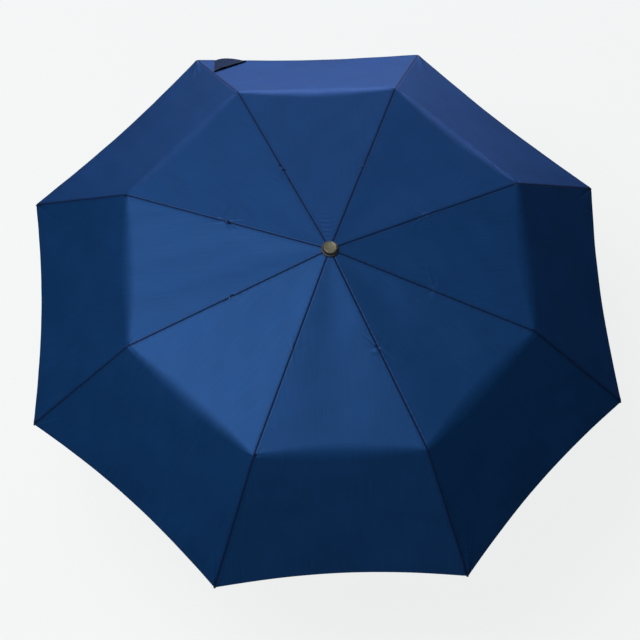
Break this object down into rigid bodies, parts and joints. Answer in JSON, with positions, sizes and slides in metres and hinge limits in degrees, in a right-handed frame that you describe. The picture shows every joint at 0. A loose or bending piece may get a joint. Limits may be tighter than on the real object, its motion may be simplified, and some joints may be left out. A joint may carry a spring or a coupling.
{
  "type": "folding umbrella",
  "caption": "Compact three-fold umbrella with a telescoping shaft, jointed ribs, stretchers on a sliding runner, a panelled canopy, a push button and a short handle.",
  "frame": {"origin": "centre of the handle's flat base", "axes": "+Z along the shaft from the handle to the cap; the push button faces -Y; ribs at 22.5 degrees and every 45 degrees on, counted anticlockwise from above"},
  "size_m": [0.9136, 0.9136, 0.58],
  "materials": {
    "canopy_fabric": "plain-woven polyester with a soft sheen",
    "webbing": "narrow woven strap",
    "zinc_steel": "pressed, zinc plated",
    "spring_steel": "drawn wire",
    "glass_fibre": "pultruded rod",
    "aluminium_tube": "drawn and anodised",
    "black_plastic": "moulded, semi-gloss",
    "soft_grip": "soft-touch coating",
    "button_plastic": "moulded",
    "cap_disc": "gunmetal, satin"
  },
  "bodies": {
    "handle": {"handle_grip": "soft_grip", "handle_end_cap": "black_plastic", "lower_tube": "aluminium_tube", "opening_spring": "spring_steel"},
    "button": {"push_button": "button_plastic"},
    "middle_shaft": {"middle_tube": "aluminium_tube"},
    "top_shaft": {"top_tube": "aluminium_tube", "crown": "black_plastic", "cap_flange": "black_plastic", "ferrule_cap": "cap_disc", "closure_strap": "webbing", "canopy_panel_1": "canopy_fabric", "canopy_panel_2": "canopy_fabric", "canopy_panel_3": "canopy_fabric", "canopy_panel_4": "canopy_fabric", "canopy_panel_5": "canopy_fabric", "canopy_panel_6": "canopy_fabric", "canopy_panel_7": "canopy_fabric", "canopy_panel_8": "canopy_fabric"},
    "runner": {"runner": "black_plastic"},
    "top_rib_1": {"top_rib_1": "zinc_steel"},
    "middle_rib_1": {"middle_rib_1": "zinc_steel"},
    "outer_rib_1": {"outer_rib_1": "glass_fibre", "rib_tip_1": "black_plastic"},
    "stretcher_1": {"stretcher_1": "zinc_steel"},
    "top_rib_2": {"top_rib_2": "zinc_steel"},
    "middle_rib_2": {"middle_rib_2": "zinc_steel"},
    "outer_rib_2": {"outer_rib_2": "glass_fibre", "rib_tip_2": "black_plastic"},
    "stretcher_2": {"stretcher_2": "zinc_steel"},
    "top_rib_3": {"top_rib_3": "zinc_steel"},
    "middle_rib_3": {"middle_rib_3": "zinc_steel"},
    "outer_rib_3": {"outer_rib_3": "glass_fibre", "rib_tip_3": "black_plastic"},
    "stretcher_3": {"stretcher_3": "zinc_steel"},
    "top_rib_4": {"top_rib_4": "zinc_steel"},
    "middle_rib_4": {"middle_rib_4": "zinc_steel"},
    "outer_rib_4": {"outer_rib_4": "glass_fibre", "rib_tip_4": "black_plastic"},
    "stretcher_4": {"stretcher_4": "zinc_steel"},
    "top_rib_5": {"top_rib_5": "zinc_steel"},
    "middle_rib_5": {"middle_rib_5": "zinc_steel"},
    "outer_rib_5": {"outer_rib_5": "glass_fibre", "rib_tip_5": "black_plastic"},
    "stretcher_5": {"stretcher_5": "zinc_steel"},
    "top_rib_6": {"top_rib_6": "zinc_steel"},
    "middle_rib_6": {"middle_rib_6": "zinc_steel"},
    "outer_rib_6": {"outer_rib_6": "glass_fibre", "rib_tip_6": "black_plastic"},
    "stretcher_6": {"stretcher_6": "zinc_steel"},
    "top_rib_7": {"top_rib_7": "zinc_steel"},
    "middle_rib_7": {"middle_rib_7": "zinc_steel"},
    "outer_rib_7": {"outer_rib_7": "glass_fibre", "rib_tip_7": "black_plastic"},
    "stretcher_7": {"stretcher_7": "zinc_steel"},
    "top_rib_8": {"top_rib_8": "zinc_steel"},
    "middle_rib_8": {"middle_rib_8": "zinc_steel"},
    "outer_rib_8": {"outer_rib_8": "glass_fibre", "rib_tip_8": "black_plastic"},
    "stretcher_8": {"stretcher_8": "zinc_steel"}
  },
  "joints": [
    {"name": "button_press", "type": "slide", "parent": "handle", "child": "button", "axis": [0, 1, 0], "range_m": [0, 0.003], "stiffness_N_per_m": 600, "springref_m": -0.002},
    {"name": "lower_telescope", "type": "slide", "parent": "handle", "child": "middle_shaft", "axis": [0, 0, -1], "range_m": [0, 0.145], "stiffness_N_per_m": 60, "springref_m": -0.2, "deforming": ["opening_spring"]},
    {"name": "upper_telescope", "type": "slide", "parent": "middle_shaft", "child": "top_shaft", "axis": [0, 0, -1], "range_m": [0, 0.145], "stiffness_N_per_m": 60, "springref_m": -0.2},
    {"name": "runner_slide", "type": "slide", "parent": "top_shaft", "child": "runner", "axis": [0, 0, -1], "range_m": [0, 0.11163], "stiffness_N_per_m": 80, "springref_m": -0.2, "deforming": ["canopy_panel_1", "canopy_panel_2", "canopy_panel_3", "canopy_panel_4", "canopy_panel_5", "canopy_panel_6", "canopy_panel_7", "canopy_panel_8", "closure_strap"]},
    {"name": "crown_hinge_1", "type": "hinge", "parent": "top_shaft", "child": "top_rib_1", "pos_m": [0.00952, 0.00394, 0.5682], "axis": [-0.3827, 0.9239, 0], "range_deg": [0, 82.05]},
    {"name": "inner_knee_1", "type": "hinge", "parent": "top_rib_1", "child": "middle_rib_1", "pos_m": [0.15164, 0.06281, 0.54905], "axis": [-0.3827, 0.9239, 0], "range_deg": [-180.05, 0]},
    {"name": "outer_knee_1", "type": "hinge", "parent": "middle_rib_1", "child": "outer_rib_1", "pos_m": [0.30196, 0.12508, 0.52124], "axis": [-0.3827, 0.9239, 0], "range_deg": [0, 147.05]},
    {"name": "stretcher_hinge_1", "type": "hinge", "parent": "top_rib_1", "child": "stretcher_1", "pos_m": [0.08263, 0.03423, 0.55647], "axis": [-0.3827, 0.9239, 0], "range_deg": [-139.12, 0]},
    {"name": "crown_hinge_2", "type": "hinge", "parent": "top_shaft", "child": "top_rib_2", "pos_m": [0.00394, 0.00952, 0.5682], "axis": [-0.9239, 0.3827, 0], "range_deg": [0, 82.05]},
    {"name": "inner_knee_2", "type": "hinge", "parent": "top_rib_2", "child": "middle_rib_2", "pos_m": [0.06281, 0.15164, 0.54905], "axis": [-0.9239, 0.3827, 0], "range_deg": [-180.05, 0]},
    {"name": "outer_knee_2", "type": "hinge", "parent": "middle_rib_2", "child": "outer_rib_2", "pos_m": [0.12508, 0.30196, 0.52124], "axis": [-0.9239, 0.3827, 0], "range_deg": [0, 147.05]},
    {"name": "stretcher_hinge_2", "type": "hinge", "parent": "top_rib_2", "child": "stretcher_2", "pos_m": [0.03423, 0.08263, 0.55647], "axis": [-0.9239, 0.3827, 0], "range_deg": [-139.12, 0]},
    {"name": "crown_hinge_3", "type": "hinge", "parent": "top_shaft", "child": "top_rib_3", "pos_m": [-0.00394, 0.00952, 0.5682], "axis": [-0.9239, -0.3827, 0], "range_deg": [0, 82.05]},
    {"name": "inner_knee_3", "type": "hinge", "parent": "top_rib_3", "child": "middle_rib_3", "pos_m": [-0.06281, 0.15164, 0.54905], "axis": [-0.9239, -0.3827, 0], "range_deg": [-180.05, 0]},
    {"name": "outer_knee_3", "type": "hinge", "parent": "middle_rib_3", "child": "outer_rib_3", "pos_m": [-0.12508, 0.30196, 0.52124], "axis": [-0.9239, -0.3827, 0], "range_deg": [0, 147.05]},
    {"name": "stretcher_hinge_3", "type": "hinge", "parent": "top_rib_3", "child": "stretcher_3", "pos_m": [-0.03423, 0.08263, 0.55647], "axis": [-0.9239, -0.3827, 0], "range_deg": [-139.12, 0]},
    {"name": "crown_hinge_4", "type": "hinge", "parent": "top_shaft", "child": "top_rib_4", "pos_m": [-0.00952, 0.00394, 0.5682], "axis": [-0.3827, -0.9239, 0], "range_deg": [0, 82.05]},
    {"name": "inner_knee_4", "type": "hinge", "parent": "top_rib_4", "child": "middle_rib_4", "pos_m": [-0.15164, 0.06281, 0.54905], "axis": [-0.3827, -0.9239, 0], "range_deg": [-180.05, 0]},
    {"name": "outer_knee_4", "type": "hinge", "parent": "middle_rib_4", "child": "outer_rib_4", "pos_m": [-0.30196, 0.12508, 0.52124], "axis": [-0.3827, -0.9239, 0], "range_deg": [0, 147.05]},
    {"name": "stretcher_hinge_4", "type": "hinge", "parent": "top_rib_4", "child": "stretcher_4", "pos_m": [-0.08263, 0.03423, 0.55647], "axis": [-0.3827, -0.9239, 0], "range_deg": [-139.12, 0]},
    {"name": "crown_hinge_5", "type": "hinge", "parent": "top_shaft", "child": "top_rib_5", "pos_m": [-0.00952, -0.00394, 0.5682], "axis": [0.3827, -0.9239, 0], "range_deg": [0, 82.05]},
    {"name": "inner_knee_5", "type": "hinge", "parent": "top_rib_5", "child": "middle_rib_5", "pos_m": [-0.15164, -0.06281, 0.54905], "axis": [0.3827, -0.9239, 0], "range_deg": [-180.05, 0]},
    {"name": "outer_knee_5", "type": "hinge", "parent": "middle_rib_5", "child": "outer_rib_5", "pos_m": [-0.30196, -0.12508, 0.52124], "axis": [0.3827, -0.9239, 0], "range_deg": [0, 147.05]},
    {"name": "stretcher_hinge_5", "type": "hinge", "parent": "top_rib_5", "child": "stretcher_5", "pos_m": [-0.08263, -0.03423, 0.55647], "axis": [0.3827, -0.9239, 0], "range_deg": [-139.12, 0]},
    {"name": "crown_hinge_6", "type": "hinge", "parent": "top_shaft", "child": "top_rib_6", "pos_m": [-0.00394, -0.00952, 0.5682], "axis": [0.9239, -0.3827, 0], "range_deg": [0, 82.05]},
    {"name": "inner_knee_6", "type": "hinge", "parent": "top_rib_6", "child": "middle_rib_6", "pos_m": [-0.06281, -0.15164, 0.54905], "axis": [0.9239, -0.3827, 0], "range_deg": [-180.05, 0]},
    {"name": "outer_knee_6", "type": "hinge", "parent": "middle_rib_6", "child": "outer_rib_6", "pos_m": [-0.12508, -0.30196, 0.52124], "axis": [0.9239, -0.3827, 0], "range_deg": [0, 147.05]},
    {"name": "stretcher_hinge_6", "type": "hinge", "parent": "top_rib_6", "child": "stretcher_6", "pos_m": [-0.03423, -0.08263, 0.55647], "axis": [0.9239, -0.3827, 0], "range_deg": [-139.12, 0]},
    {"name": "crown_hinge_7", "type": "hinge", "parent": "top_shaft", "child": "top_rib_7", "pos_m": [0.00394, -0.00952, 0.5682], "axis": [0.9239, 0.3827, 0], "range_deg": [0, 82.05]},
    {"name": "inner_knee_7", "type": "hinge", "parent": "top_rib_7", "child": "middle_rib_7", "pos_m": [0.06281, -0.15164, 0.54905], "axis": [0.9239, 0.3827, 0], "range_deg": [-180.05, 0]},
    {"name": "outer_knee_7", "type": "hinge", "parent": "middle_rib_7", "child": "outer_rib_7", "pos_m": [0.12508, -0.30196, 0.52124], "axis": [0.9239, 0.3827, 0], "range_deg": [0, 147.05]},
    {"name": "stretcher_hinge_7", "type": "hinge", "parent": "top_rib_7", "child": "stretcher_7", "pos_m": [0.03423, -0.08263, 0.55647], "axis": [0.9239, 0.3827, 0], "range_deg": [-139.12, 0]},
    {"name": "crown_hinge_8", "type": "hinge", "parent": "top_shaft", "child": "top_rib_8", "pos_m": [0.00952, -0.00394, 0.5682], "axis": [0.3827, 0.9239, 0], "range_deg": [0, 82.05]},
    {"name": "inner_knee_8", "type": "hinge", "parent": "top_rib_8", "child": "middle_rib_8", "pos_m": [0.15164, -0.06281, 0.54905], "axis": [0.3827, 0.9239, 0], "range_deg": [-180.05, 0]},
    {"name": "outer_knee_8", "type": "hinge", "parent": "middle_rib_8", "child": "outer_rib_8", "pos_m": [0.30196, -0.12508, 0.52124], "axis": [0.3827, 0.9239, 0], "range_deg": [0, 147.05]},
    {"name": "stretcher_hinge_8", "type": "hinge", "parent": "top_rib_8", "child": "stretcher_8", "pos_m": [0.08263, -0.03423, 0.55647], "axis": [0.3827, 0.9239, 0], "range_deg": [-139.12, 0]}
  ],
  "couplings": [
    {"joint": "crown_hinge_1", "follows": "runner_slide", "rad_per_m": 12.821},
    {"joint": "inner_knee_1", "follows": "runner_slide", "rad_per_m": -28.143},
    {"joint": "outer_knee_1", "follows": "runner_slide", "rad_per_m": 22.983},
    {"joint": "stretcher_hinge_1", "follows": "runner_slide", "rad_per_m": -21.744},
    {"joint": "crown_hinge_2", "follows": "runner_slide", "rad_per_m": 12.821},
    {"joint": "inner_knee_2", "follows": "runner_slide", "rad_per_m": -28.143},
    {"joint": "outer_knee_2", "follows": "runner_slide", "rad_per_m": 22.983},
    {"joint": "stretcher_hinge_2", "follows": "runner_slide", "rad_per_m": -21.744},
    {"joint": "crown_hinge_3", "follows": "runner_slide", "rad_per_m": 12.821},
    {"joint": "inner_knee_3", "follows": "runner_slide", "rad_per_m": -28.143},
    {"joint": "outer_knee_3", "follows": "runner_slide", "rad_per_m": 22.983},
    {"joint": "stretcher_hinge_3", "follows": "runner_slide", "rad_per_m": -21.744},
    {"joint": "crown_hinge_4", "follows": "runner_slide", "rad_per_m": 12.821},
    {"joint": "inner_knee_4", "follows": "runner_slide", "rad_per_m": -28.143},
    {"joint": "outer_knee_4", "follows": "runner_slide", "rad_per_m": 22.983},
    {"joint": "stretcher_hinge_4", "follows": "runner_slide", "rad_per_m": -21.744},
    {"joint": "crown_hinge_5", "follows": "runner_slide", "rad_per_m": 12.821},
    {"joint": "inner_knee_5", "follows": "runner_slide", "rad_per_m": -28.143},
    {"joint": "outer_knee_5", "follows": "runner_slide", "rad_per_m": 22.983},
    {"joint": "stretcher_hinge_5", "follows": "runner_slide", "rad_per_m": -21.744},
    {"joint": "crown_hinge_6", "follows": "runner_slide", "rad_per_m": 12.821},
    {"joint": "inner_knee_6", "follows": "runner_slide", "rad_per_m": -28.143},
    {"joint": "outer_knee_6", "follows": "runner_slide", "rad_per_m": 22.983},
    {"joint": "stretcher_hinge_6", "follows": "runner_slide", "rad_per_m": -21.744},
    {"joint": "crown_hinge_7", "follows": "runner_slide", "rad_per_m": 12.821},
    {"joint": "inner_knee_7", "follows": "runner_slide", "rad_per_m": -28.143},
    {"joint": "outer_knee_7", "follows": "runner_slide", "rad_per_m": 22.983},
    {"joint": "stretcher_hinge_7", "follows": "runner_slide", "rad_per_m": -21.744},
    {"joint": "crown_hinge_8", "follows": "runner_slide", "rad_per_m": 12.821},
    {"joint": "inner_knee_8", "follows": "runner_slide", "rad_per_m": -28.143},
    {"joint": "outer_knee_8", "follows": "runner_slide", "rad_per_m": 22.983},
    {"joint": "stretcher_hinge_8", "follows": "runner_slide", "rad_per_m": -21.744}
  ]
}
